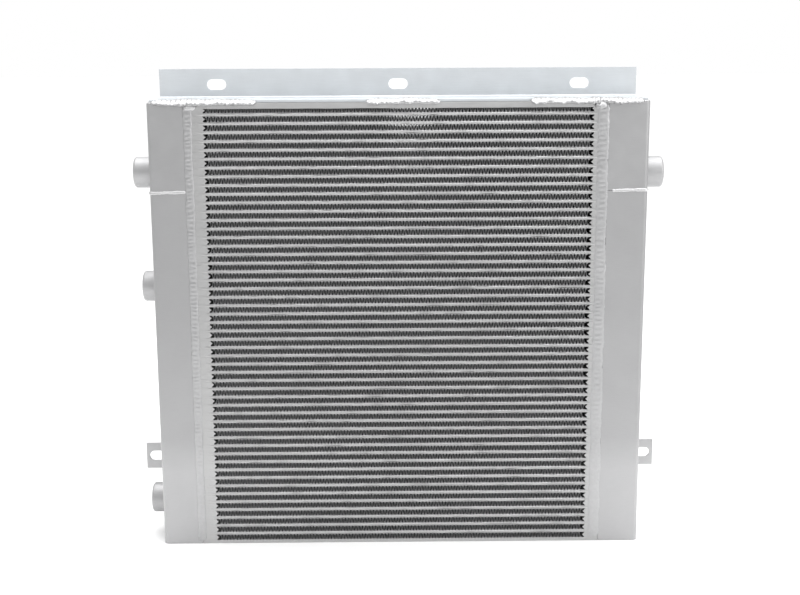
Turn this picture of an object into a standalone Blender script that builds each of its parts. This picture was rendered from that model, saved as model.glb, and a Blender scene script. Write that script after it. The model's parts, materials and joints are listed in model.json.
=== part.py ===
"""Combined oil and air cooler of welded bar-and-plate aluminium, in metres, +Z up.

The core stands upright with its air face looking along -Y.  The origin is the middle of the
base.  Flat tubes lie across X, corrugated fin rows lie between them, and a folded tank closes
each end.  The short upper section cools compressed air in one pass.  The tall lower section
cools oil in two passes: in at one left port, across, and back to the other left port.
"""

import math

import bmesh
import bpy

# Core: tubes and fin rows, counted from the bottom, starting at 1
TUBE_COUNT = 51
TUBE_HEIGHT = 0.0042
TUBE_SHEET = 0.0006
TUBE_SIDE_BAR = 0.008
FIN_HEIGHT = 0.008
FIN_WIDTH = 0.540
FIN_SETBACK = 0.0006
HEADER_BAR_WIDTH = 0.020
TOP_PLATE_HEIGHT = 0.006
BOTTOM_PLATE_HEIGHT = 0.005
DEPTH = 0.100
PITCH = TUBE_HEIGHT + FIN_HEIGHT
ROW_COUNT = TUBE_COUNT + 1
CORE_WIDTH = FIN_WIDTH + 2 * HEADER_BAR_WIDTH
CORE_HEIGHT = BOTTOM_PLATE_HEIGHT + TUBE_COUNT * PITCH + FIN_HEIGHT + TOP_PLATE_HEIGHT

# Tube stacks: the first row below each stack's first tube
PASS_ROW = 22
SECTION_ROW = 43
# Every row with a number divisible by this is brazed into its stack's own solid
JOINED_ROW_STEP = 3

# Tanks: folded sheet, open towards the core
TANK_REACH = 0.058
TANK_SHEET = 0.004
TANK_BEND = 0.006
TANK_OUTSIDE = CORE_WIDTH / 2 + TANK_REACH
CAP_HEIGHT = 0.005
DIVIDER_HEIGHT = 0.004
SEAM_Z = BOTTOM_PLATE_HEIGHT + (SECTION_ROW - 1) * PITCH + 0.0003

# Ports: turned bosses with the bore of a G1 parallel thread
PORT_LENGTH = 0.028
PORT_RADIUS = 0.022
PORT_BORE_RADIUS = 0.01515
PORT_CHAMFER = 0.0015
PORT_SIDES = 48
LEFT_AIR_PORT_Z = 0.542
RIGHT_AIR_PORT_Z = 0.539
UPPER_OIL_PORT_Z = 0.377
LOWER_OIL_PORT_Z = 0.0545
OIL_PORT_LENGTH = 0.022

# Mounting angle across the top, and the two tabs low on the sides
ANGLE_LENGTH = 0.690
ANGLE_SHEET = 0.004
ANGLE_SHELF = 0.094
ANGLE_TOP_Z = 0.686
ANGLE_BEND = 0.006
ANGLE_SLOT_SPACING = 0.2625
ANGLE_SLOT_RISE = 0.0225
TAB_SHEET = 0.004
TAB_REACH = 0.0395
TAB_HEIGHT = 0.040
TAB_Z = 0.104
TAB_SLOT_FROM_END = 0.019
SLOT_LENGTH = 0.028
SLOT_WIDTH = 0.015

# Clearance between neighbouring solids
GAP = 0.0003
# Extra length that takes a cutter past the faces it cuts
OVERCUT = 0.004
ARC_STEPS = 6

FRONT = -DEPTH / 2
REAR = DEPTH / 2


def clear_scene():
    for old in list(bpy.data.objects):
        bpy.data.objects.remove(old, do_unlink=True)


def make_material(name, colour, roughness, metallic):
    material = bpy.data.materials.new(name)
    material.use_nodes = True
    shader = material.node_tree.nodes["Principled BSDF"]
    shader.inputs["Base Color"].default_value = (*colour, 1.0)
    shader.inputs["Roughness"].default_value = roughness
    shader.inputs["Metallic"].default_value = metallic
    return material


def tank_material():
    return make_material("tank_sheet", (0.47, 0.47, 0.48), 0.45, 0.7)


def core_material():
    return make_material("core_bar", (0.52, 0.52, 0.52), 0.40, 0.8)


def fin_material():
    return make_material("fin_sheet", (0.20, 0.20, 0.21), 0.50, 0.7)


def bracket_material():
    return make_material("bracket_plate", (0.62, 0.64, 0.66), 0.42, 0.7)


def port_material():
    return make_material("port_stock", (0.40, 0.40, 0.41), 0.38, 0.8)


def mesh_from(shape, name):
    bmesh.ops.recalc_face_normals(shape, faces=shape.faces)
    mesh = bpy.data.meshes.new(name)
    shape.to_mesh(mesh)
    shape.free()
    return mesh


def add_part(name, mesh, material):
    part = bpy.data.objects.new(name, mesh)
    bpy.context.scene.collection.objects.link(part)
    if material is not None:
        mesh.materials.append(material)
    return part


def box_mesh(name, low, high):
    """A box between two opposite corners."""
    shape = bmesh.new()
    bmesh.ops.create_cube(shape, size=1.0)
    for corner in shape.verts:
        for i in range(3):
            corner.co[i] = low[i] if corner.co[i] < 0 else high[i]
    return mesh_from(shape, name)


def prism_mesh(name, outline, start, end, place):
    """A closed outline swept from start to end; place(u, v, w) gives the 3-D point."""
    shape = bmesh.new()
    near = [shape.verts.new(place(u, v, start)) for u, v in outline]
    far = [shape.verts.new(place(u, v, end)) for u, v in outline]
    shape.faces.new(near)
    shape.faces.new(list(reversed(far)))
    count = len(outline)
    for i in range(count):
        j = (i + 1) % count
        shape.faces.new((near[i], near[j], far[j], far[i]))
    return mesh_from(shape, name)


def along_z(u, v, w):
    return (u, v, w)


def along_y(u, v, w):
    return (u, w, v)


def along_x(u, v, w):
    return (w, u, v)


def arc(centre, radius, first_degrees, last_degrees, steps=ARC_STEPS):
    points = []
    for i in range(steps + 1):
        angle = math.radians(first_degrees + (last_degrees - first_degrees) * i / steps)
        points.append((centre[0] + radius * math.cos(angle), centre[1] + radius * math.sin(angle)))
    return points


def slot_outline(centre_x, centre_z):
    """A slot with round ends, long side along X."""
    radius = SLOT_WIDTH / 2
    half = SLOT_LENGTH / 2 - radius
    right = arc((centre_x + half, centre_z), radius, -90, 90, 2 * ARC_STEPS)
    left = arc((centre_x - half, centre_z), radius, 90, 270, 2 * ARC_STEPS)
    return right + left


def cut(part, cutter):
    """Subtracts a cutter, which stays in the scene as a hidden guide."""
    cutter.hide_render = True
    cutter.display_type = "WIRE"
    modifier = part.modifiers.new(cutter.name, "BOOLEAN")
    modifier.operation = "DIFFERENCE"
    modifier.solver = "EXACT"
    modifier.object = cutter


def join_boxes(name, boxes):
    """Many separate boxes in one mesh, used as a single cutter."""
    shape = bmesh.new()
    for low, high in boxes:
        made = bmesh.ops.create_cube(shape, size=1.0)["verts"]
        for corner in made:
            for i in range(3):
                corner.co[i] = low[i] if corner.co[i] < 0 else high[i]
    return mesh_from(shape, name)


def row_bottom(row):
    return BOTTOM_PLATE_HEIGHT + (row - 1) * PITCH


def tube_top(tube):
    return row_bottom(tube + 1)


def row_is_joined(row):
    return row % JOINED_ROW_STEP == 0


def build_side_plate(name, bottom_z, height, material):
    low = (-CORE_WIDTH / 2, FRONT, bottom_z)
    high = (CORE_WIDTH / 2, REAR, bottom_z + height)
    return add_part(name, box_mesh(name, low, high), material)


def build_tube_stack(name, first_row, last_tube, material):
    """Flat tubes with header bars between their ends, brazed into one ladder.

    first_row is the row under the lowest tube, whose number is the same.  The bars of that
    row belong to the stack too, and so do those above the topmost tube of the core.
    """
    at_core_top = last_tube == TUBE_COUNT
    bottom = row_bottom(first_row) + GAP
    top = tube_top(last_tube) - GAP
    if at_core_top:
        top = CORE_HEIGHT - TOP_PLATE_HEIGHT - GAP
    low = (-CORE_WIDTH / 2, FRONT, bottom)
    high = (CORE_WIDTH / 2, REAR, top)
    stack = add_part(name, box_mesh(name, low, high), material)

    last_row = ROW_COUNT if at_core_top else last_tube
    windows = []
    for row in range(first_row, last_row + 1):
        if row_is_joined(row):
            continue
        window_bottom = row_bottom(row)
        window_top = window_bottom + FIN_HEIGHT
        if row == first_row:
            window_bottom -= OVERCUT / 2
        if row == ROW_COUNT:
            window_top += OVERCUT / 2
        windows.append(
            (
                (-FIN_WIDTH / 2, FRONT - OVERCUT, window_bottom),
                (FIN_WIDTH / 2, REAR + OVERCUT, window_top),
            )
        )
    cut(stack, add_part(name + ".windows", join_boxes(name + ".windows", windows), None))

    channels = []
    for tube in range(first_row, last_tube + 1):
        channel_bottom = row_bottom(tube) + FIN_HEIGHT + TUBE_SHEET
        channel_top = tube_top(tube) - TUBE_SHEET
        channels.append(
            (
                (-CORE_WIDTH / 2 - OVERCUT, FRONT + TUBE_SIDE_BAR, channel_bottom),
                (CORE_WIDTH / 2 + OVERCUT, REAR - TUBE_SIDE_BAR, channel_top),
            )
        )
    cut(stack, add_part(name + ".channels", join_boxes(name + ".channels", channels), None))
    return stack


def build_fin_row(row, material):
    """The outer block of one corrugated fin row."""
    name = f"fin_row_{row:02d}"
    half_width = FIN_WIDTH / 2 - GAP
    low = (-half_width, FRONT + FIN_SETBACK, row_bottom(row) + GAP)
    high = (half_width, REAR - FIN_SETBACK, row_bottom(row) + FIN_HEIGHT - GAP)
    return add_part(name, box_mesh(name, low, high), material)


def tank_outline(side):
    """A folded channel in plan, open towards the core; side is -1 for left and 1 for right."""
    open_x = CORE_WIDTH / 2 + GAP
    outer_centre_x = TANK_OUTSIDE - TANK_BEND
    outer_centre_y = REAR - TANK_BEND
    inner_bend = TANK_BEND - TANK_SHEET
    outline = [(open_x, FRONT)]
    outline += arc((outer_centre_x, -outer_centre_y), TANK_BEND, -90, 0)
    outline += arc((outer_centre_x, outer_centre_y), TANK_BEND, 0, 90)
    outline += [(open_x, REAR), (open_x, REAR - TANK_SHEET)]
    outline += arc((outer_centre_x, outer_centre_y), inner_bend, 90, 0)
    outline += arc((outer_centre_x, -outer_centre_y), inner_bend, 0, -90)
    outline += [(open_x, FRONT + TANK_SHEET)]
    return [(side * x, y) for x, y in outline]


def insert_outline(side):
    """A flat plate in plan that fits inside a tank with clearance all round."""
    open_x = CORE_WIDTH / 2 + GAP
    centre_x = TANK_OUTSIDE - TANK_BEND
    centre_y = REAR - TANK_BEND
    bend = TANK_BEND - TANK_SHEET - GAP
    half_depth = REAR - TANK_SHEET - GAP
    outline = [(open_x, -half_depth)]
    outline += arc((centre_x, -centre_y), bend, -90, 0)
    outline += arc((centre_x, centre_y), bend, 0, 90)
    outline += [(open_x, half_depth)]
    return [(side * x, y) for x, y in outline]


def build_tank(name, side, bottom_z, top_z, port_heights, material):
    tank = add_part(name, prism_mesh(name, tank_outline(side), bottom_z, top_z, along_z), material)
    wall_inside = side * (TANK_OUTSIDE - TANK_SHEET - OVERCUT)
    wall_outside = side * (TANK_OUTSIDE + OVERCUT)
    for number, height in enumerate(port_heights, start=1):
        hole_name = f"{name}.hole_{number}"
        hole = arc((0.0, height), PORT_BORE_RADIUS, 0, 360, PORT_SIDES)[:-1]
        mesh = prism_mesh(hole_name, hole, wall_inside, wall_outside, along_x)
        cut(tank, add_part(hole_name, mesh, None))
    return tank


def build_insert(name, side, bottom_z, height, material):
    """A cap, a divider or a baffle: one flat plate set inside a tank."""
    mesh = prism_mesh(name, insert_outline(side), bottom_z, bottom_z + height, along_z)
    return add_part(name, mesh, material)


def build_port(name, side, height, length, material):
    """A turned boss, square to the tank wall, bored through and chamfered at its mouth."""
    root = TANK_OUTSIDE + GAP
    end = TANK_OUTSIDE + length
    profile = [
        (root, PORT_BORE_RADIUS),
        (root, PORT_RADIUS),
        (end - PORT_CHAMFER, PORT_RADIUS),
        (end, PORT_RADIUS - PORT_CHAMFER),
        (end, PORT_BORE_RADIUS + PORT_CHAMFER),
        (end - PORT_CHAMFER, PORT_BORE_RADIUS),
    ]
    shape = bmesh.new()
    rings = []
    for i in range(PORT_SIDES):
        angle = 2 * math.pi * i / PORT_SIDES
        rings.append(
            [
                shape.verts.new((side * x, r * math.cos(angle), height + r * math.sin(angle)))
                for x, r in profile
            ]
        )
    for i in range(PORT_SIDES):
        here = rings[i]
        after = rings[(i + 1) % PORT_SIDES]
        for j in range(len(profile)):
            k = (j + 1) % len(profile)
            shape.faces.new((here[j], here[k], after[k], after[j]))
    port = add_part(name, mesh_from(shape, name), material)
    port.data.shade_smooth()
    port.data.set_sharp_from_angle(angle=math.radians(30))
    return port


def build_mounting_angle(material):
    """An angle bent from plate: a shelf on the core and an upright leg with three slots."""
    shelf_bottom = CORE_HEIGHT + GAP
    shelf_top = shelf_bottom + ANGLE_SHEET
    bend_centre = (REAR - ANGLE_BEND, shelf_bottom + ANGLE_BEND)
    outline = [(REAR - ANGLE_SHELF, shelf_bottom)]
    outline += arc(bend_centre, ANGLE_BEND, -90, 0)
    outline += [(REAR, ANGLE_TOP_Z), (REAR - ANGLE_SHEET, ANGLE_TOP_Z)]
    outline += arc(bend_centre, ANGLE_BEND - ANGLE_SHEET, 0, -90)
    outline += [(REAR - ANGLE_SHELF, shelf_top)]
    name = "top_mounting_angle"
    half = ANGLE_LENGTH / 2
    angle = add_part(name, prism_mesh(name, outline, -half, half, along_x), material)
    for step in (-1, 0, 1):
        slot = slot_outline(step * ANGLE_SLOT_SPACING, CORE_HEIGHT + ANGLE_SLOT_RISE)
        slot_name = f"{name}.slot_{step + 2}"
        mesh = prism_mesh(slot_name, slot, REAR - ANGLE_SHEET - OVERCUT, REAR + OVERCUT, along_y)
        cut(angle, add_part(slot_name, mesh, None))
    return angle


def build_mounting_tab(name, side, material):
    """A flat tab in the rear plane, its root coped to the tank's round corner."""
    bend_centre = (TANK_OUTSIDE - TANK_BEND, REAR - TANK_BEND)
    coped = TANK_BEND + GAP
    tab_front = REAR - TAB_SHEET
    first = math.degrees(math.asin((tab_front - bend_centre[1]) / coped))
    last = 50.0
    end_x = TANK_OUTSIDE + TAB_REACH
    outline = arc(bend_centre, coped, first, last)
    outline += [(outline[-1][0], REAR), (end_x, REAR), (end_x, tab_front)]
    outline = [(side * x, y) for x, y in outline]
    bottom = TAB_Z - TAB_HEIGHT / 2
    mesh = prism_mesh(name, outline, bottom, bottom + TAB_HEIGHT, along_z)
    tab = add_part(name, mesh, material)
    slot = slot_outline(side * (end_x - TAB_SLOT_FROM_END), TAB_Z)
    slot_name = name + ".slot"
    mesh = prism_mesh(slot_name, slot, tab_front - OVERCUT, REAR + OVERCUT, along_y)
    cut(tab, add_part(slot_name, mesh, None))
    return tab


def build_core(bar, fin):
    top_plate_z = CORE_HEIGHT - TOP_PLATE_HEIGHT
    build_side_plate("bottom_side_plate", 0.0, BOTTOM_PLATE_HEIGHT, bar)
    build_side_plate("top_side_plate", top_plate_z, TOP_PLATE_HEIGHT, bar)
    build_tube_stack("lower_oil_tube_stack", 1, PASS_ROW - 1, bar)
    build_tube_stack("upper_oil_tube_stack", PASS_ROW, SECTION_ROW - 1, bar)
    build_tube_stack("air_tube_stack", SECTION_ROW, TUBE_COUNT, bar)
    for row in range(1, ROW_COUNT + 1):
        if not row_is_joined(row):
            build_fin_row(row, fin)


def build_tanks(sheet):
    left_oil_ports = (LOWER_OIL_PORT_Z, UPPER_OIL_PORT_Z)
    for word, side, air_ports, lower_ports in (
        ("left", -1, (LEFT_AIR_PORT_Z,), left_oil_ports),
        ("right", 1, (RIGHT_AIR_PORT_Z,), ()),
    ):
        build_tank(f"{word}_air_tank", side, SEAM_Z + GAP / 2, CORE_HEIGHT, air_ports, sheet)
        build_tank(f"{word}_oil_tank", side, 0.0, SEAM_Z - GAP / 2, lower_ports, sheet)
        build_insert(f"{word}_top_cap", side, CORE_HEIGHT - CAP_HEIGHT, CAP_HEIGHT, sheet)
        build_insert(f"{word}_partition_plate", side, SEAM_Z, DIVIDER_HEIGHT, sheet)
        build_insert(f"{word}_bottom_cap", side, 0.0, CAP_HEIGHT, sheet)
    baffle_z = row_bottom(PASS_ROW) + (FIN_HEIGHT - DIVIDER_HEIGHT) / 2
    build_insert("left_pass_baffle", -1, baffle_z, DIVIDER_HEIGHT, sheet)


def build_ports(stock):
    build_port("left_air_port", -1, LEFT_AIR_PORT_Z, PORT_LENGTH, stock)
    build_port("right_air_port", 1, RIGHT_AIR_PORT_Z, PORT_LENGTH, stock)
    build_port("upper_oil_port", -1, UPPER_OIL_PORT_Z, OIL_PORT_LENGTH, stock)
    build_port("lower_oil_port", -1, LOWER_OIL_PORT_Z, OIL_PORT_LENGTH, stock)


def build_mountings(plate):
    build_mounting_angle(plate)
    build_mounting_tab("left_mounting_tab", -1, plate)
    build_mounting_tab("right_mounting_tab", 1, plate)


def main():
    clear_scene()
    build_core(core_material(), fin_material())
    build_tanks(tank_material())
    build_ports(port_material())
    build_mountings(bracket_material())


main()
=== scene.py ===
"""Looks for the combined oil and air cooler: bare welded aluminium on a pale studio floor.

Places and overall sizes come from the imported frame, and the fine detail has named sizes of its own.
The core is rebuilt as real sheets, bars and corrugated fins, the tanks, ports and brackets get
rounded edges, and the welds are rippled beads.
"""

import json
import math
import random

import bmesh
import bpy
from mathutils import Matrix, Vector, noise


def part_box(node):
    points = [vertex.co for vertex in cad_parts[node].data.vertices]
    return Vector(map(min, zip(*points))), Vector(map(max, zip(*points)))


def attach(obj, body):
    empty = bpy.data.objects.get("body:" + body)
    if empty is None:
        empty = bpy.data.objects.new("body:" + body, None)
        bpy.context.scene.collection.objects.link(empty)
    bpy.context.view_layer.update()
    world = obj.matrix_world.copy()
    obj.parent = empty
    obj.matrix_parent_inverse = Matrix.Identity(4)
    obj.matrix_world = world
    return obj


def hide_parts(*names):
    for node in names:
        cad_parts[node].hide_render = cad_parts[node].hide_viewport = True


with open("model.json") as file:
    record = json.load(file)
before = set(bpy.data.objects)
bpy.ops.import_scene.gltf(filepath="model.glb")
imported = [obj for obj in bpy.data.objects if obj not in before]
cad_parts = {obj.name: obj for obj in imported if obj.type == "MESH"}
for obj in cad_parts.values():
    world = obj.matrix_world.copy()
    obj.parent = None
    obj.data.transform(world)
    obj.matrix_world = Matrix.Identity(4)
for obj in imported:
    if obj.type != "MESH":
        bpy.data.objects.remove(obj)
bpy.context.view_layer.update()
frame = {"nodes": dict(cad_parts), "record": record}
BODY = "root"


def low(node):
    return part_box(node)[0]


def high(node):
    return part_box(node)[1]


# ---------------------------------------------------------------- sizes read from the frame
GAP = 0.0003
ROW_NODES = {int(name[-2:]): name for name in frame["nodes"] if name.startswith("fin_row_")}
ROW_COUNT = max(ROW_NODES)
TUBE_COUNT = ROW_COUNT - 1
PITCH = low("fin_row_02").z - low("fin_row_01").z
FIN_HEIGHT = high("fin_row_01").z - low("fin_row_01").z + 2 * GAP
FIRST_ROW_Z = low("fin_row_01").z - GAP
FIELD_HALF = high("fin_row_01").x + GAP
CORE_HALF = high("top_side_plate").x
CORE_TOP = high("top_side_plate").z
FRONT = low("top_side_plate").y
REAR = high("top_side_plate").y
TANK_OUTSIDE = high("right_oil_tank").x
SEAM_Z = high("right_oil_tank").z + GAP / 2
SHELF_FRONT = low("top_mounting_angle").y
TAB_TOP = high("left_mounting_tab").z
TAB_BOTTOM = low("left_mounting_tab").z

# ---------------------------------------------------------------- sizes of the visible detail
STATION_COUNT = 116
STATIONS = [-CORE_HALF + 2 * CORE_HALF * i / STATION_COUNT for i in range(STATION_COUNT + 1)]
FLUSH = 0.0001
SHEET = 0.0006
SHEET_SETBACK = 0.0007
TOP_LIP = 0.0021
BAR_DEPTH = 0.008
BAR_CROWN = 0.0008
BAR_CROWN_STEPS = 6
NOSE_REACH = 0.0027
NOSE_HALF = 0.0021
NOSE_TIP_HALF = 0.0003
NOSE_ROOT_INSET = 0.0002
HEADER_CORNER = 0.0004
HEADER_EASE = 0.0001
FIN_SHEET = 0.0002
FIN_FRONT_SHEET = 0.00045
CREST_FRONT_SHEET = 0.0019
FIN_PERIOD = 0.0048
FIN_SKEW = 0.00135
FIN_BOW = 0.0012
FIN_START = FIELD_HALF - 0.0041
FIN_SETBACK = 0.0008
FIN_BURR_DEPTH = 0.0016
CREST_HALF_WIDTH = 0.0005
SHOULDER_HALF_WIDTH = 0.0009
SHOULDER_SHARE = 0.24
SIDE_PLATE_LIP_SHEET = 0.7 * FIN_SETBACK
TANK_SHEET = 0.004
TANK_BEND = 0.006
ANGLE_SHEET = 0.004
ANGLE_BEND = 0.006
THREAD_PITCH = 0.002309
THREAD_DEPTH = 0.00148
BORE_RADIUS = 0.01515
BORE_CHAMFER = 0.0015
RIM_ROUNDING = 0.0038
PORT_SIDES = 96
SLOT_HALF_LENGTH = 0.014
SLOT_HALF_WIDTH = 0.0075
TANK_EDGE = 0.0006
ANGLE_EDGE = 0.0005
TAB_EDGE = 0.0004
SIDE_PLATE_EDGE = 0.0002
TAB_COPE_END = 50.0

# ---------------------------------------------------------------- sizes of the welds
# A height is how far a bead stands proud, and a ripple is the spacing of its ripples
BEAD_SIDES = 16
BEAD_STEP = 0.0009
TANK_WELD_BOW = 1.9
TANK_WELD_DEPTH = 0.34
TANK_WELD_ROUGH = 0.4
CRATER_HALF_LENGTH = 0.0092
CRATER_HALF_WIDTH = 0.0064
CRATER_HEIGHT = 0.0034
CRATER_DROP = 0.0042
CRATER_SHIFT = 0.004
CRATER_RIPPLE = 0.0068
CRATER_DEPTH = 0.1
SEAM_WELD_HALF_WIDTH = 0.0024
SEAM_WELD_HEIGHT = 0.0017
SEAM_WELD_RIPPLE = 0.0042
SEAM_WELD_TILT = 0.30
# Where each stitch along the top starts and ends, from left to right
STITCHES = ((-0.343, -0.196), (-0.046, 0.058), (0.182, 0.340))
FRONT_STITCH_HALF_WIDTH = 0.0078
FRONT_STITCH_HEIGHT = 0.0044
FRONT_STITCH_RIPPLE = 0.0062
REAR_STITCH_HALF_WIDTH = 0.0030
REAR_STITCH_HEIGHT = 0.0026
REAR_STITCH_RIPPLE = 0.0050
CAP_WELD_HALF_WIDTH = 0.0034
CAP_WELD_HEIGHT = 0.0013
CAP_WELD_RIPPLE = 0.005
PORT_WELD_HALF_WIDTH = 0.0034
PORT_WELD_HEIGHT = 0.0026
PORT_WELD_RIPPLE = 0.0046
PORT_WELD_STEPS = 150
TAB_WELD_HALF_WIDTH = 0.0030
TAB_WELD_HEIGHT = 0.0022
TAB_WELD_RIPPLE = 0.0048

# ---------------------------------------------------------------- camera
CAMERA_PLACE = Vector((-0.0140, -1.8080, 0.7159))
CAMERA_PITCH = -11.22
CAMERA_YAW = -0.47
CAMERA_ROLL = -0.28
CAMERA_LENS = 56.87

# ---------------------------------------------------------------- brightness of the surround and lamps
SURROUND_FRONT = 0.55
SURROUND_BACK = 0.68
SURROUND_TOP = 0.9
OVERHEAD_POWER = 60
RIGHT_SIDE_POWER = 23

# ---------------------------------------------------------------- floor
FLOOR_HALF = 30.0
FLOOR_DROP = 0.0002


# ================================================================ building blocks
def new_piece(name, mesh, material, nodes=()):
    """Links a mesh as a piece of the object, riding on the cooler's only body."""
    piece = bpy.data.objects.new(name, mesh)
    bpy.context.scene.collection.objects.link(piece)
    mesh.materials.clear()
    mesh.materials.append(material)
    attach(piece, BODY)
    if nodes:
        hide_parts(*nodes)
    return piece


def smooth(mesh, degrees=35.0):
    mesh.shade_smooth()
    mesh.set_sharp_from_angle(angle=math.radians(degrees))


def soften_edges(piece, width):
    bevel = piece.modifiers.new("edges", "BEVEL")
    bevel.width = width
    bevel.segments = 2
    bevel.limit_method = "ANGLE"
    bevel.angle_limit = math.radians(40)
    bevel.harden_normals = True


def skin(name, rings, closed_path=False):
    """Skins equal rings of points into one closed surface, with end caps unless the path closes."""
    count = len(rings[0])
    points = [point for ring in rings for point in ring]
    faces = []
    spans = len(rings) if closed_path else len(rings) - 1
    for i in range(spans):
        here = i * count
        after = ((i + 1) % len(rings)) * count
        for j in range(count):
            k = (j + 1) % count
            faces.append((here + j, here + k, after + k, after + j))
    if not closed_path:
        faces.append(tuple(reversed(range(count))))
        faces.append(tuple(range(len(points) - count, len(points))))
    mesh = bpy.data.meshes.new(name)
    mesh.from_pydata(points, [], faces)
    return face_out(mesh)


def face_out(mesh):
    shape = bmesh.new()
    shape.from_mesh(mesh)
    bmesh.ops.recalc_face_normals(shape, faces=shape.faces)
    shape.to_mesh(mesh)
    shape.free()
    return mesh


def join(name, meshes):
    """Many closed meshes in one."""
    shape = bmesh.new()
    for mesh in meshes:
        shape.from_mesh(mesh)
        bpy.data.meshes.remove(mesh)
    joined = bpy.data.meshes.new(name)
    shape.to_mesh(joined)
    shape.free()
    return joined


def arc(centre, radius, first_degrees, last_degrees, steps=12):
    points = []
    for i in range(steps + 1):
        angle = math.radians(first_degrees + (last_degrees - first_degrees) * i / steps)
        points.append((centre[0] + radius * math.cos(angle), centre[1] + radius * math.sin(angle)))
    return points


def prism(name, outline, start, end, place):
    """A closed outline swept straight from start to end."""
    return skin(name, [[place(u, v, w) for u, v in outline] for w in (start, end)])


def along_x(u, v, w):
    return Vector((w, u, v))


def along_y(u, v, w):
    return Vector((u, w, v))


def along_z(u, v, w):
    return Vector((u, v, w))


def cut_away(piece, cutters):
    """Subtracts closed meshes from a piece for good."""
    helpers = []
    for number, mesh in enumerate(cutters):
        helper = bpy.data.objects.new(f"{piece.name}_cutter_{number}", mesh)
        bpy.context.scene.collection.objects.link(helper)
        boolean = piece.modifiers.new("cut", "BOOLEAN")
        boolean.operation = "DIFFERENCE"
        boolean.solver = "EXACT"
        boolean.object = helper
        helpers.append(helper)
    graph = bpy.context.evaluated_depsgraph_get()
    result = bpy.data.meshes.new_from_object(piece.evaluated_get(graph))
    piece.modifiers.clear()
    piece.data = result
    for helper in helpers:
        bpy.data.objects.remove(helper)
    smooth(piece.data)


def wander(a, b, size=1.0):
    """Smooth noise between -size and size."""
    return size * noise.noise(Vector((a, b, 0.37)))


# ================================================================ materials
class Nodes:
    """Short calls for building one node tree."""

    def __init__(self, name):
        self.material = bpy.data.materials.new(name)
        self.material.use_nodes = True
        self.tree = self.material.node_tree
        self.shader = self.tree.nodes["Principled BSDF"]
        self.place = self.add("ShaderNodeTexCoord").outputs["Object"]

    def add(self, kind, **values):
        node = self.tree.nodes.new(kind)
        for key, value in values.items():
            setattr(node, key, value)
        return node

    def link(self, start, end):
        self.tree.links.new(start, end)

    def stretched(self, scale):
        mapping = self.add("ShaderNodeMapping")
        mapping.inputs["Scale"].default_value = scale
        self.link(self.place, mapping.inputs["Vector"])
        return mapping.outputs["Vector"]

    def noise(self, scale, detail=3.0, rough=0.55, stretch=(1, 1, 1)):
        node = self.add("ShaderNodeTexNoise")
        node.inputs["Scale"].default_value = scale
        node.inputs["Detail"].default_value = detail
        node.inputs["Roughness"].default_value = rough
        self.link(self.stretched(stretch), node.inputs["Vector"])
        return node.outputs["Fac"]

    def remap(self, value, low_in, high_in, low_out, high_out):
        node = self.add("ShaderNodeMapRange")
        for key, number in zip(
            ("From Min", "From Max", "To Min", "To Max"), (low_in, high_in, low_out, high_out)
        ):
            node.inputs[key].default_value = number
        self.link(value, node.inputs["Value"])
        return node.outputs["Result"]

    def combine(self, operation, first, second):
        node = self.add("ShaderNodeMath", operation=operation)
        self.link(first, node.inputs[0])
        if isinstance(second, (int, float)):
            node.inputs[1].default_value = second
        else:
            self.link(second, node.inputs[1])
        return node.outputs["Value"]

    def ramp(self, value, stops):
        node = self.add("ShaderNodeValToRGB")
        ramp = node.color_ramp
        while len(ramp.elements) < len(stops):
            ramp.elements.new(0.5)
        for element, (position, colour) in zip(ramp.elements, stops):
            element.position = position
            element.color = (*colour, 1.0)
        self.link(value, node.inputs["Fac"])
        return node.outputs["Color"]

    def toned(self, colour, tones):
        """Multiplies a colour by a factor that changes with height, painting light and shade into it."""
        split = self.add("ShaderNodeSeparateXYZ")
        self.link(self.place, split.inputs["Vector"])
        stops = tuple((z, (tone / LIGHTEST,) * 3) for z, tone in tones)
        factor = self.ramp(split.outputs["Z"], stops)
        node = self.add("ShaderNodeMix", data_type="RGBA", blend_type="MULTIPLY")
        node.inputs["Factor"].default_value = 1.0
        sockets = [socket for socket in node.inputs if socket.type == "RGBA"]
        self.link(colour, sockets[0])
        self.link(factor, sockets[1])
        return [socket for socket in node.outputs if socket.type == "RGBA"][0]

    def bump(self, height, distance, strength=1.0, before=None):
        node = self.add("ShaderNodeBump")
        node.inputs["Strength"].default_value = strength
        node.inputs["Distance"].default_value = distance
        self.link(height, node.inputs["Height"])
        if before is not None:
            self.link(before, node.inputs["Normal"])
        return node.outputs["Normal"]


def shade(colour, amount):
    return tuple(channel * amount for channel in colour)


# Height above the base and how light the bare metal is painted there: painted light from the pale floor makes
# it lighter low down, and painted shade makes it duller through the middle
PAINTED_LIGHT_TONES = ((0.0, 1.13), (0.11, 1.13), (0.16, 0.95), (0.35, 0.88), (0.52, 0.94), (0.64, 1.0))
LIGHTEST = max(tone for _, tone in PAINTED_LIGHT_TONES)
# The core and the beads get less of the painted floor light low down than the folded tanks
CORE_PAINTED_LIGHT_TONES = tuple((z, min(tone, 1.04)) for z, tone in PAINTED_LIGHT_TONES)


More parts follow.
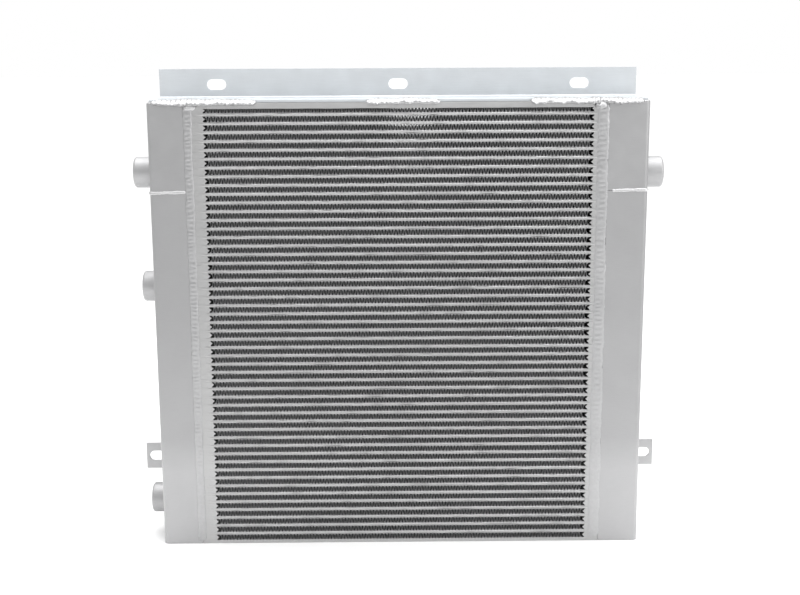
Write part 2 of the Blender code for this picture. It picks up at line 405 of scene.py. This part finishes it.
def metal(
    name, colour, roughness, metallic, grain, contrast=0.06, grain_bump=0.00004, tones=None, uneven=0.0
):
    """Mill-finish aluminium: rolling grain along one axis, faint stains and rubbed patches, and painted light
    and shade by height when tones are given.
    """
    nodes = Nodes(name)
    fine = nodes.noise(1.0, 4.0, 0.6, grain)
    blotch = nodes.noise(9.0, 5.0, 0.6)
    rubbed = nodes.noise(38.0, 6.0, 0.7)
    speck = nodes.noise(900.0, 2.0, 0.5)
    tone = nodes.remap(fine, 0.3, 0.7, -0.5, 0.5)
    tone = nodes.combine("ADD", tone, nodes.remap(blotch, 0.3, 0.7, -0.6, 0.6))
    tone = nodes.combine("ADD", tone, nodes.remap(rubbed, 0.35, 0.65, -0.3, 0.3))
    factor = nodes.remap(tone, -1.0, 1.0, 0.0, 1.0)
    base = nodes.ramp(
        factor, ((0.0, shade(colour, 1 - contrast)), (0.5, colour), (1.0, shade(colour, 1 + contrast)))
    )
    # Painted light and shade: lighter near the floor, darker through the middle
    if tones:
        base = nodes.toned(base, tones)
    nodes.link(base, nodes.shader.inputs["Base Color"])
    rough = nodes.combine("ADD", nodes.remap(rubbed, 0.3, 0.7, -0.07, 0.07), roughness)
    rough = nodes.combine("ADD", rough, nodes.remap(fine, 0.3, 0.7, -0.04, 0.04))
    nodes.link(rough, nodes.shader.inputs["Roughness"])
    nodes.shader.inputs["Metallic"].default_value = metallic
    normal = nodes.bump(fine, grain_bump)
    if uneven:
        normal = nodes.bump(nodes.noise(170.0, 3.0, 0.5), uneven, 1.0, normal)
    nodes.link(nodes.bump(speck, 0.00002, 1.0, normal), nodes.shader.inputs["Normal"])
    return nodes.material


TANK_METAL = metal("tank_metal", (0.425, 0.425, 0.430), 0.42, 0.85, (60, 60, 1400), tones=PAINTED_LIGHT_TONES)
BAR_METAL = metal(
    "bar_metal", (0.480, 0.480, 0.480), 0.40, 0.9, (8, 1200, 1200), tones=CORE_PAINTED_LIGHT_TONES, uneven=0.0004
)
# The fins are painted darker than the other aluminium, as painted shade deep in their channels
SHADED_FIN_METAL = metal("shaded_fin_metal", (0.255, 0.255, 0.258), 0.60, 0.6, (900, 20, 900))
PLATE_METAL = metal("plate_metal", (0.67, 0.70, 0.725), 0.38, 0.85, (30, 1500, 1500))
PORT_METAL = metal("port_metal", (0.42, 0.42, 0.425), 0.53, 0.95, (2600, 40, 40))
# A lighter copy of the weld metal: a painted highlight on the left crater ends and the seam welds
HIGHLIT_WELD_METAL = metal("highlit_weld_metal", (0.56, 0.56, 0.565), 0.42, 0.9, (260, 260, 260), 0.08, 0.00006)
WELD_METAL = metal(
    "weld_metal", (0.475, 0.475, 0.480), 0.40, 0.95, (260, 260, 260), 0.10, 0.00008, CORE_PAINTED_LIGHT_TONES
)


# ================================================================ core
def row_bottom(row):
    return FIRST_ROW_Z + (row - 1) * PITCH


def tube_bottom(tube):
    return row_bottom(tube) + FIN_HEIGHT


STACKS = {
    "lower_oil": "lower_oil_tube_stack",
    "upper_oil": "upper_oil_tube_stack",
    "air": "air_tube_stack",
}


def stack_tubes(node):
    """The numbers of the tubes that a stack holds, from its height."""
    bottom, top = low(node).z, high(node).z
    return [n for n in range(1, TUBE_COUNT + 1) if bottom < tube_bottom(n) < top]



def in_field(x):
    """1 between the header bars and 0 over them, where everything is brazed flush."""
    return min(1.0, max(0.0, (FIELD_HALF + 0.002 - abs(x)) / 0.004))


def sheet_mesh(bottom_z, seed):
    """One parting sheet, its long edges wandering by a tenth of a millimetre."""
    rings = []
    for x in STATIONS:
        share = in_field(x)
        front = FRONT + FLUSH + share * (SHEET_SETBACK + wander(x * 22, seed, 0.0002))
        rear = REAR - FLUSH - share * (SHEET_SETBACK + wander(x * 22, seed + 50, 0.0002))
        lift = wander(x * 9, seed + 90, 0.00006)
        z0, z1 = bottom_z + lift, bottom_z + SHEET + lift
        corners = ((front, z0), (rear, z0), (rear, z1), (front, z1))
        rings.append([Vector((x, y, z)) for y, z in corners])
    return skin("sheet", rings)


def side_bar_mesh(bottom_z, face_y, inward, seed):
    """The bar along one long side of a tube, its outer face crowned and never quite even."""
    height = PITCH - FIN_HEIGHT - 2 * SHEET
    rings = []
    for x in STATIONS:
        field = in_field(x)
        proud = wander(x * 17, seed, 0.00012) * field
        lean = wander(x * 75, seed + 5, 0.55) + wander(x * 24, seed + 8, 0.3)
        ring = []
        for i in range(BAR_CROWN_STEPS + 1):
            share = i / BAR_CROWN_STEPS
            crown = BAR_CROWN * field * (2 * share - 1 + lean) ** 2
            ring.append(Vector((x, face_y + inward * (crown + FLUSH + proud), bottom_z + height * share)))
        ring.append(Vector((x, face_y + inward * BAR_DEPTH, bottom_z + height)))
        ring.append(Vector((x, face_y + inward * BAR_DEPTH, bottom_z)))
        rings.append(ring)
    return skin("bar", rings)


def header_bar_mesh(row, side):
    """A header bar: square outside, and a small blunt nose towards the fins."""
    bottom, top = row_bottom(row), row_bottom(row) + FIN_HEIGHT
    middle = (bottom + top) / 2 + wander(row * 3.7, side, 0.0005)
    tip = FIELD_HALF - NOSE_REACH
    outline = [
        (CORE_HALF, bottom),
        (CORE_HALF, top),
        (FIELD_HALF + HEADER_CORNER, top),
        (FIELD_HALF, top - HEADER_CORNER),
        (FIELD_HALF - NOSE_ROOT_INSET, middle + NOSE_HALF),
        (tip, middle + NOSE_TIP_HALF),
        (tip, middle - NOSE_TIP_HALF),
        (FIELD_HALF - NOSE_ROOT_INSET, middle - NOSE_HALF),
        (FIELD_HALF, bottom + HEADER_CORNER),
        (FIELD_HALF + HEADER_CORNER, bottom),
    ]
    outline = [(side * x, z) for x, z in outline]
    ease = HEADER_EASE
    stops = ((FRONT + FLUSH, ease), (FRONT + 2 * ease, 0), (REAR - 2 * ease, 0), (REAR - FLUSH, ease))
    rings = []
    for y, inset in stops:
        rings.append([Vector((x, y, z + (inset if z < middle else -inset))) for x, z in outline])
    return skin("header", rings)


def build_stack(word, node):
    """Parting sheets, side bars and header bars of one group of tubes."""
    tubes = stack_tubes(node)
    sheets, bars, headers = [], [], []
    for tube in tubes:
        z = tube_bottom(tube)
        sheets.append(sheet_mesh(z, tube))
        sheets.append(sheet_mesh(z + PITCH - FIN_HEIGHT - SHEET, tube + 200))
        bars.append(side_bar_mesh(z + SHEET, FRONT, 1, tube + 400))
        bars.append(side_bar_mesh(z + SHEET, REAR, -1, tube + 600))
    rows = list(tubes)
    if tubes[-1] == TUBE_COUNT:
        rows.append(ROW_COUNT)
    for row in rows:
        for side in (-1, 1):
            headers.append(header_bar_mesh(row, side))
    for part, meshes in (("parting_sheets", sheets), ("side_bars", bars), ("header_bars", headers)):
        mesh = join(f"{word}_{part}", meshes)
        smooth(mesh, 40)
        new_piece(f"{word}_{part}", mesh, BAR_METAL, (node,))


def fin_path(dice):
    """Points of the zigzag, from left to right, as (x, share of the height, thickness in front)."""
    points = []
    x = -FIN_START + dice.uniform(0, 0.0008)
    up = dice.random() < 0.5
    while x < FIN_START:
        crest = 1.0 if up else 0.0
        shoulder = 1 - SHOULDER_SHARE if up else SHOULDER_SHARE
        points.append((x - SHOULDER_HALF_WIDTH, shoulder, FIN_FRONT_SHEET))
        points.append((x - CREST_HALF_WIDTH, crest, CREST_FRONT_SHEET))
        points.append((x + CREST_HALF_WIDTH, crest, CREST_FRONT_SHEET))
        points.append((x + SHOULDER_HALF_WIDTH, shoulder, FIN_FRONT_SHEET))
        x += FIN_PERIOD / 2 + dice.uniform(-0.00008, 0.00008)
        up = not up
    return points


def fin_mesh(row, dice):
    """One corrugated sheet: a ribbon of real thickness, burred at its front edge and a little bowed."""
    bottom = row_bottom(row) + FIN_SHEET / 2
    height = FIN_HEIGHT - FIN_SHEET
    shape = fin_path(dice)
    path = [Vector((x, 0, bottom + height * share)) for x, share, _ in shape]
    front, rear = FRONT + FIN_SETBACK, REAR - FIN_SETBACK
    skew = FIN_SKEW * (1 + wander(row * 1.9, 4.0, 0.5))
    rings = []
    for i, point in enumerate(path):
        run = path[min(i + 1, len(path) - 1)] - path[max(i - 1, 0)]
        across = Vector((-run.z, 0, run.x)).normalized()
        middle = 1 - abs(2 * (point.z - bottom) / height - 1)
        sway = dice.uniform(-1, 1) * 0.00018 * middle + wander(point.x * 60, row, 0.0003) * middle
        bow = FIN_BOW + wander(point.x * 12, row + 70, 0.0006)
        setback = dice.uniform(0, 0.0003)
        stops = (
            (front + setback, shape[i][2], sway),
            (front + FIN_BURR_DEPTH, FIN_SHEET, 0.4 * sway),
            (0.0, FIN_SHEET, skew / 2 + bow),
            (rear, FIN_SHEET, skew),
        )
        upper = [Vector((point.x + shift, y, point.z)) + across * (sheet / 2) for y, sheet, shift in stops]
        lower = [Vector((point.x + shift, y, point.z)) - across * (sheet / 2) for y, sheet, shift in stops]
        rings.append(upper + lower[::-1])
    return skin("fin", rings)


def build_fins():
    """Every row of fins, each with its own dice so that no row depends on another."""
    for row in range(1, ROW_COUNT + 1):
        dice = random.Random(1000 + row)
        mesh = fin_mesh(row, dice)
        mesh.name = f"fins_{row:02d}"
        smooth(mesh, 40)
        nodes = (ROW_NODES[row],) if row in ROW_NODES else ()
        new_piece(f"fins_{row:02d}", mesh, SHADED_FIN_METAL, nodes)


def side_plate_outline(first, last, lip):
    """The plate's section, with a lip of this height down each long edge that hides a little of the fins."""
    if not lip:
        return [(first.y, first.z), (last.y, first.z), (last.y, last.z), (first.y, last.z)]
    sheet = SIDE_PLATE_LIP_SHEET
    front_lip = [(first.y, first.z - lip), (first.y + sheet, first.z - lip), (first.y + sheet, first.z)]
    rear_lip = [(last.y - sheet, first.z), (last.y - sheet, first.z - lip), (last.y, first.z - lip)]
    return front_lip + rear_lip + [(last.y, last.z), (first.y, last.z)]


def build_side_plate(node, lip=0.0):
    """The plate that closes the core above or below, the lip's edge sagging a little."""
    first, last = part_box(node)
    outline = side_plate_outline(first, last, lip)
    rings = []
    for x in STATIONS:
        ring = []
        for y, z in outline:
            sag = wander(x * 30, 3.3, 0.0003) if z < first.z else 0.0
            ring.append(Vector((x, y, z + sag)))
        rings.append(ring)
    mesh = skin(node + "_rounded", rings)
    smooth(mesh)
    soften_edges(new_piece(node + "_rounded", mesh, BAR_METAL, (node,)), SIDE_PLATE_EDGE)


# ================================================================ tanks
def tank_outline(side):
    open_x = CORE_HALF + GAP
    outer = (TANK_OUTSIDE - TANK_BEND, REAR - TANK_BEND)
    front = (outer[0], -outer[1])
    inner_bend = TANK_BEND - TANK_SHEET
    outline = [(open_x, FRONT)]
    outline += arc(front, TANK_BEND, -90, 0)
    outline += arc(outer, TANK_BEND, 0, 90)
    outline += [(open_x, REAR), (open_x, REAR - TANK_SHEET)]
    outline += arc(outer, inner_bend, 90, 0)
    outline += arc(front, inner_bend, 0, -90)
    outline += [(open_x, FRONT + TANK_SHEET)]
    return [(side * x, y) for x, y in outline]


PORTS = {
    "left_air_port": "left_air_tank",
    "right_air_port": "right_air_tank",
    "upper_oil_port": "left_oil_tank",
    "lower_oil_port": "left_oil_tank",
}


def port_axis(node):
    first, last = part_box(node)
    return (first + last) / 2


def build_tank(node, side):
    """A tank folded from one sheet, with a hole behind each of its ports."""
    bottom, top = low(node).z, high(node).z
    mesh = prism(node + "_folded", tank_outline(side), bottom, top, along_z)
    piece = new_piece(node + "_folded", mesh, TANK_METAL, (node,))
    cutters = []
    for port, tank in PORTS.items():
        if tank == node:
            height = port_axis(port).z
            hole = arc((0.0, height), BORE_RADIUS + THREAD_DEPTH, 0, 360, 64)[:-1]
            start = side * (TANK_OUTSIDE - 2 * TANK_SHEET)
            cutters.append(prism("hole", hole, start, side * (TANK_OUTSIDE + TANK_SHEET), along_x))
    cut_away(piece, cutters)
    soften_edges(piece, TANK_EDGE)


# ================================================================ ports
def port_profile(root, end, outside):
    """Rings of the boss as (x, radius, threaded), once round its section."""
    turns = (end - root) / THREAD_PITCH
    steps = int(turns * 6)
    profile = []
    for i in range(steps + 1):
        x = root + (end - BORE_CHAMFER - root) * i / steps
        profile.append((x, BORE_RADIUS, 1.0))
    mouth = BORE_RADIUS + BORE_CHAMFER
    profile.append((end - 0.0002, mouth, 0.0))
    profile.append((end, mouth + 0.0003, 0.0))
    rim = (end - RIM_ROUNDING, outside - RIM_ROUNDING)
    profile += [(x, radius, 0.0) for x, radius in arc(rim, RIM_ROUNDING, 0, 90, 6)]
    profile.append((root, outside, 0.0))
    return profile


def thread_wave(turn):
    """A V thread with rounded crest and root, from 0 to 1."""
    share = turn - math.floor(turn)
    ramp = 1 - abs(2 * share - 1)
    return ramp * ramp * (3 - 2 * ramp)


def build_port(node):
    """A turned boss with a rounded rim, its bore threaded down to the tank."""
    first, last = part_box(node)
    side = 1 if first.x > 0 else -1
    root = min(abs(first.x), abs(last.x))
    end = max(abs(first.x), abs(last.x))
    height = port_axis(node).z
    outside = (last.z - first.z) / 2
    rings = []
    for x, radius, threaded in port_profile(root, end, outside):
        ring = []
        for i in range(PORT_SIDES):
            angle = 2 * math.pi * i / PORT_SIDES
            r = radius + threaded * THREAD_DEPTH * thread_wave(x / THREAD_PITCH + i / PORT_SIDES)
            ring.append(Vector((side * x, r * math.cos(angle), height + r * math.sin(angle))))
        rings.append(ring)
    mesh = skin(node + "_turned", rings, closed_path=True)
    smooth(mesh, 30)
    new_piece(node + "_turned", mesh, PORT_METAL, (node,))


# ================================================================ brackets
def slot_cutter(centre, half_length, half_width, start, end):
    half = half_length - half_width
    right = arc((centre[0] + half, centre[1]), half_width, -90, 90, 20)
    left = arc((centre[0] - half, centre[1]), half_width, 90, 270, 20)
    return prism("slot", right + left, start, end, along_y)


def record_boxes(start):
    """Boxes of the record's stated openings whose names begin with a word."""
    openings = frame["record"]["physics"]["openings"]
    return [entry["box_m"] for entry in openings if entry["name"].startswith(start)]


def slot_cutters(start):
    cutters = []
    for first, last in record_boxes(start):
        centre = ((first[0] + last[0]) / 2, (first[2] + last[2]) / 2)
        cutters.append(
            slot_cutter(centre, SLOT_HALF_LENGTH, SLOT_HALF_WIDTH, REAR - 2 * ANGLE_SHEET, REAR + ANGLE_SHEET)
        )
    return cutters


def build_angle():
    """The top mounting angle, bent from sheet, with its slots cut through the upright leg."""
    node = "top_mounting_angle"
    first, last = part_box(node)
    centre = (REAR - ANGLE_BEND, first.z + ANGLE_BEND)
    outline = [(first.y, first.z)] + arc(centre, ANGLE_BEND, -90, 0)
    outline += [(REAR, last.z), (REAR - ANGLE_SHEET, last.z)]
    outline += arc(centre, ANGLE_BEND - ANGLE_SHEET, 0, -90)
    outline += [(first.y, first.z + ANGLE_SHEET)]
    mesh = prism(node + "_bent", outline, first.x, last.x, along_x)
    piece = new_piece(node + "_bent", mesh, PLATE_METAL, (node,))
    cut_away(piece, slot_cutters("angle_slot"))
    soften_edges(piece, ANGLE_EDGE)


def build_tab(node, side):
    """A flat tab, hollowed at its root to fit round the tank's bend."""
    first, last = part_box(node)
    centre = (TANK_OUTSIDE - TANK_BEND, REAR - TANK_BEND)
    coped = TANK_BEND + GAP
    start = math.degrees(math.asin((first.y - centre[1]) / coped))
    outline = arc(centre, coped, start, TAB_COPE_END, 3)
    end_x = max(abs(first.x), abs(last.x))
    outline += [(outline[-1][0], REAR), (end_x, REAR), (end_x, first.y)]
    outline = [(side * x, y) for x, y in outline]
    mesh = prism(node + "_cut", outline, first.z, last.z, along_z)
    piece = new_piece(node + "_cut", mesh, TANK_METAL, (node,))
    word = "tab_slot_left" if side < 0 else "tab_slot_right"
    cut_away(piece, slot_cutters(word))
    soften_edges(piece, TAB_EDGE)


# ================================================================ welds
def bead(
    name,
    path,
    outs,
    half_width,
    proud,
    ripple,
    seed,
    closed=False,
    rough=1.0,
    bow=0.9,
    depth=0.38,
    material=WELD_METAL,
):
    """A weld bead along a path of points: an arched ridge with curved ripples, sunk at its edges.

    outs holds the outward direction at each point, and ripple is the spacing along the path.
    rough scales how uneven the bead is, bow how far its ripples curve, and depth how deep they are.
    """
    rings = []
    length = 0.0
    last = len(path) - 1
    total = sum((path[i + 1] - path[i]).length for i in range(last))
    for i, point in enumerate(path):
        if i:
            length += (point - path[i - 1]).length
        before = path[i - 1] if i or closed else path[i]
        after = path[(i + 1) % len(path)] if i < last or closed else path[i]
        along = (after - before).normalized()
        out = outs[i].normalized()
        across = along.cross(out).normalized()
        ends = 1.0
        if not closed:
            near = min(length, total - length) / (half_width * 1.1)
            ends = math.sqrt(max(0.02, 1 - max(0.0, 1 - near) ** 2))
        fat = 1 + rough * wander(length * 70, seed, 0.35) + rough * wander(length * 260, seed + 7, 0.16)
        tall = 1 + rough * wander(length * 55, seed + 13, 0.4)
        drift = rough * wander(length * 40, seed + 23, 0.0012)
        ring = []
        for j in range(BEAD_SIDES):
            angle = 2 * math.pi * j / BEAD_SIDES
            u, v = math.cos(angle), math.sin(angle)
            edge = 1 + rough * wander(length * 330, seed + 31 + u * 2, 0.22)
            phase = length / ripple + bow * u * u + wander(length * 26, seed + 41, 1.1)
            phase += wander(length * 90, seed + 51 + u, 0.5)
            share = phase - math.floor(phase)
            step = 1 - depth + depth * math.sin(math.pi * share ** 0.6)
            rise = proud * v * (step * tall if v > 0 else 0.6)
            ring.append(point + across * (half_width * u * fat * edge * ends + drift) + out * (rise * ends))
        rings.append(ring)
    mesh = skin(name, rings, closed_path=closed)
    smooth(mesh, 60)
    return new_piece(name, mesh, material)


def straight(start, end):
    start, end = Vector(start), Vector(end)
    count = max(2, int((end - start).length / BEAD_STEP))
    return [start.lerp(end, i / count) for i in range(count + 1)]


def straight_bead(name, start, end, out, half_width, proud, ripple, **more):
    path = straight(start, end)
    return bead(name, path, [Vector(out)] * len(path), half_width, proud, ripple, **more)


def outline_path(points, z):
    """Even steps along an outline in plan, with the outward direction at each."""
    path, outs = [], []
    for (x0, y0), (x1, y1) in zip(points, points[1:]):
        run = Vector((x1 - x0, y1 - y0, 0))
        count = max(1, int(run.length / BEAD_STEP))
        out = Vector((run.y, -run.x, 0)).normalized()
        for i in range(count):
            path.append(Vector((x0, y0, z)) + run * (i / count))
            outs.append(out)
    return path, outs


def build_tank_welds():
    """The long flat beads where the tanks meet the core, front and rear, and the crater each ends in.

    The right beads lie further in, over the header bars, and are wider and flatter than the left.
    """
    for word, side, inset, half_width, proud, ripple, end_metal in (
        # The left craters take the lighter weld metal as a painted highlight
        ("left", -1, -0.0018, 0.0060, 0.0018, 0.0062, HIGHLIT_WELD_METAL),
        ("right", 1, 0.0068, 0.0078, 0.0014, 0.0074, WELD_METAL),
    ):
        for face, y, out in (("front", FRONT, -1), ("rear", REAR, 1)):
            name = f"{word}_{face}_tank_weld"
            seed = 3.1 * side + 1.7 * out
            x = side * (CORE_HALF - inset)
            straight_bead(
                name,
                (x, y, CORE_TOP - 0.002),
                (x, y, 0.004),
                (0, out, 0),
                half_width,
                proud,
                ripple,
                seed=seed,
                rough=TANK_WELD_ROUGH,
                bow=TANK_WELD_BOW,
                depth=TANK_WELD_DEPTH,
            )
            middle = x - side * CRATER_SHIFT
            straight_bead(
                f"{name}_end",
                (middle - side * CRATER_HALF_LENGTH, y, CORE_TOP - CRATER_DROP),
                (middle + side * CRATER_HALF_LENGTH, y, CORE_TOP - CRATER_DROP),
                (0, out, 0.8),
                CRATER_HALF_WIDTH,
                CRATER_HEIGHT,
                CRATER_RIPPLE,
                seed=seed,
                depth=CRATER_DEPTH,
                material=end_metal,
            )


def build_seam_welds():
    """The level seam between the two tanks of each side, round its three outer faces."""
    for word, side in (("left", -1), ("right", 1)):
        corner = (TANK_OUTSIDE - TANK_BEND, REAR - TANK_BEND)
        start = CORE_HALF + 0.007
        outline = [(start, FRONT)] + arc((corner[0], -corner[1]), TANK_BEND, -90, 0)
        outline += arc(corner, TANK_BEND, 0, 90) + [(start, REAR)]
        path, outs = outline_path(outline, SEAM_Z)
        path = [Vector((side * p.x, p.y, p.z)) for p in path]
        outs = [Vector((side * o.x, o.y, SEAM_WELD_TILT)) for o in outs]
        # The seam beads take the lighter weld metal as a painted highlight
        bead(
            f"{word}_seam_weld",
            path,
            outs,
            SEAM_WELD_HALF_WIDTH,
            SEAM_WELD_HEIGHT,
            SEAM_WELD_RIPPLE,
            seed=5.0 + side,
            rough=0.9,
            depth=0.35,
            material=HIGHLIT_WELD_METAL,
        )


def build_stitches():
    """Stitches that fill the step between the angle's shelf and the front, and others behind."""
    step_middle = (FRONT + SHELF_FRONT) / 2
    for word, (start, end) in zip(("left", "middle", "right"), STITCHES):
        z = CORE_TOP + 0.0004
        straight_bead(
            f"{word}_front_stitch",
            (start, step_middle, z),
            (end, step_middle, z),
            (0, -0.36, 0.93),
            FRONT_STITCH_HALF_WIDTH,
            FRONT_STITCH_HEIGHT,
            FRONT_STITCH_RIPPLE,
            seed=start * 40,
            rough=1.25,
        )
        straight_bead(
            f"{word}_rear_stitch",
            (start, REAR - 0.0024, z + 0.0006),
            (end, REAR - 0.0024, z + 0.0006),
            (0, 0.9, -0.1),
            REAR_STITCH_HALF_WIDTH,
            REAR_STITCH_HEIGHT,
            REAR_STITCH_RIPPLE,
            seed=start * 40 + 9,
        )


def build_cap_welds():
    """Beads over the joint between each top cap and its tank."""
    for word, side in (("left", -1), ("right", 1)):
        inset = TANK_SHEET
        corner = (TANK_OUTSIDE - TANK_BEND, REAR - TANK_BEND)
        bend = TANK_BEND - inset
        outline = [(CORE_HALF + 0.004, FRONT + inset)] + arc((corner[0], -corner[1]), bend, -90, 0)
        outline += arc(corner, bend, 0, 90) + [(CORE_HALF + 0.004, REAR - inset)]
        path, _ = outline_path(outline, CORE_TOP)
        path = [Vector((side * p.x, p.y, p.z)) for p in path]
        outs = [Vector((0, 0, 1))] * len(path)
        sizes = (CAP_WELD_HALF_WIDTH, CAP_WELD_HEIGHT, CAP_WELD_RIPPLE)
        bead(f"{word}_cap_weld", path, outs, *sizes, seed=8.0 + side)


def build_port_welds():
    """A ring of weld round the root of each port boss."""
    for node in PORTS:
        first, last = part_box(node)
        side = 1 if first.x > 0 else -1
        height = port_axis(node).z
        middle = Vector((side * (TANK_OUTSIDE + 0.0006), 0, height))
        radius = (last.z - first.z) / 2
        path, outs = [], []
        for i in range(PORT_WELD_STEPS):
            angle = 2 * math.pi * i / PORT_WELD_STEPS
            round_out = Vector((0, math.cos(angle), math.sin(angle)))
            path.append(middle + round_out * radius)
            outs.append(Vector((side * 0.8, 0, 0)) + round_out)
        bead(
            f"{node}_weld",
            path,
            outs,
            PORT_WELD_HALF_WIDTH,
            PORT_WELD_HEIGHT,
            PORT_WELD_RIPPLE,
            seed=height * 30,
            closed=True,
            rough=0.6,
        )


def build_tab_welds():
    """A bead down the joint between each mounting tab and its tank."""
    for word, side in (("left", -1), ("right", 1)):
        x = side * (TANK_OUTSIDE + 0.0002)
        y = REAR - ANGLE_SHEET - 0.0003
        straight_bead(
            f"{word}_tab_weld",
            (x, y, TAB_BOTTOM + 0.001),
            (x, y, TAB_TOP - 0.001),
            (side * 0.7, -0.7, 0),
            TAB_WELD_HALF_WIDTH,
            TAB_WELD_HEIGHT,
            TAB_WELD_RIPPLE,
            seed=11.0 + side,
            rough=0.6,
        )


# ================================================================ studio
def build_floor():
    """A wide pale floor just under the base, staged so that it is not part of the object."""
    material = bpy.data.materials.new("floor_paint")
    material.use_nodes = True
    shader = material.node_tree.nodes["Principled BSDF"]
    shader.inputs["Base Color"].default_value = (0.92, 0.92, 0.92, 1.0)
    shader.inputs["Roughness"].default_value = 0.9
    mesh = bpy.data.meshes.new("floor")
    half = FLOOR_HALF
    corners = [(-half, -half), (half, -half), (half, half), (-half, half)]
    mesh.from_pydata([(x, y, -FLOOR_DROP) for x, y in corners], [], [(0, 1, 2, 3)])
    mesh.materials.append(material)
    floor = bpy.data.objects.new("floor", mesh)
    bpy.context.scene.collection.objects.link(floor)


def area_light(name, place, target, size, power):
    data = bpy.data.lights.new(name, "AREA")
    data.shape = "RECTANGLE"
    data.size, data.size_y = size
    data.energy = power
    light = bpy.data.objects.new(name, data)
    light.location = place
    light.rotation_euler = (Vector(target) - Vector(place)).to_track_quat("-Z", "Y").to_euler()
    bpy.context.scene.collection.objects.link(light)


def build_light():
    """A soft overhead box, and a surround that is bright above and behind and dimmer in front."""
    middle = (0, 0, 0.3)
    area_light("overhead", (0.1, 0.2, 2.6), middle, (3.0, 2.4), OVERHEAD_POWER)
    area_light("right_side", (2.4, -1.4, 1.5), middle, (1.6, 1.6), RIGHT_SIDE_POWER)
    world = bpy.data.worlds.new("studio")
    world.use_nodes = True
    tree = world.node_tree
    add = tree.nodes.new
    direction = add("ShaderNodeSeparateXYZ")
    tree.links.new(add("ShaderNodeTexCoord").outputs["Generated"], direction.inputs["Vector"])
    levels = []
    for socket, first, last, start, end in (
        ("Y", -0.6, 0.6, SURROUND_FRONT, SURROUND_BACK),
        ("Z", 0.0, 1.0, 0.0, SURROUND_TOP),
    ):
        level = add("ShaderNodeMapRange")
        level.inputs["From Min"].default_value = first
        level.inputs["From Max"].default_value = last
        level.inputs["To Min"].default_value = start
        level.inputs["To Max"].default_value = end
        tree.links.new(direction.outputs[socket], level.inputs["Value"])
        levels.append(level.outputs["Result"])
    total = add("ShaderNodeMath")
    tree.links.new(levels[0], total.inputs[0])
    tree.links.new(levels[1], total.inputs[1])
    surround = tree.nodes["Background"]
    tree.links.new(total.outputs["Value"], surround.inputs["Strength"])
    backdrop = add("ShaderNodeBackground")
    backdrop.inputs["Strength"].default_value = 1.0
    for light in (surround, backdrop):
        light.inputs["Color"].default_value = (1.0, 1.0, 1.0, 1.0)
    path = add("ShaderNodeLightPath")
    mix = add("ShaderNodeMixShader")
    tree.links.new(path.outputs["Is Camera Ray"], mix.inputs["Fac"])
    tree.links.new(surround.outputs["Background"], mix.inputs[1])
    tree.links.new(backdrop.outputs["Background"], mix.inputs[2])
    tree.links.new(mix.outputs["Shader"], tree.nodes["World Output"].inputs["Surface"])
    bpy.context.scene.world = world


def build_camera():
    data = bpy.data.cameras.new("camera")
    data.lens = CAMERA_LENS
    data.sensor_width = 36.0
    data.sensor_fit = "HORIZONTAL"
    data.clip_end = 100.0
    camera = bpy.data.objects.new("camera", data)
    turn = Matrix.Rotation(math.radians(CAMERA_YAW), 4, "Z")
    tilt = Matrix.Rotation(math.radians(90 + CAMERA_PITCH), 4, "X")
    roll = Matrix.Rotation(math.radians(CAMERA_ROLL), 4, "Z")
    camera.matrix_world = Matrix.Translation(CAMERA_PLACE) @ turn @ tilt @ roll
    bpy.context.scene.collection.objects.link(camera)
    bpy.context.scene.camera = camera
    bpy.context.scene.view_settings.view_transform = "Standard"


# ================================================================ the whole scene
def dress_kept_nodes():
    """Caps, partition plates and the baffle keep their shape and take the tanks' metal."""
    kept = ("_cap", "_partition_plate", "_pass_baffle")
    for name, node in frame["nodes"].items():
        if name.endswith(kept):
            node.data.materials.clear()
            node.data.materials.append(TANK_METAL)


def main():
    build_camera()
    build_light()
    build_floor()
    for word, node in STACKS.items():
        build_stack(word, node)
    build_fins()
    build_side_plate("top_side_plate", TOP_LIP)
    build_side_plate("bottom_side_plate")
    for word, side in (("left", -1), ("right", 1)):
        build_tank(f"{word}_air_tank", side)
        build_tank(f"{word}_oil_tank", side)
        build_tab(f"{word}_mounting_tab", side)
    for node in PORTS:
        build_port(node)
    build_angle()
    build_tank_welds()
    build_seam_welds()
    build_stitches()
    build_cap_welds()
    build_port_welds()
    build_tab_welds()
    dress_kept_nodes()


main()
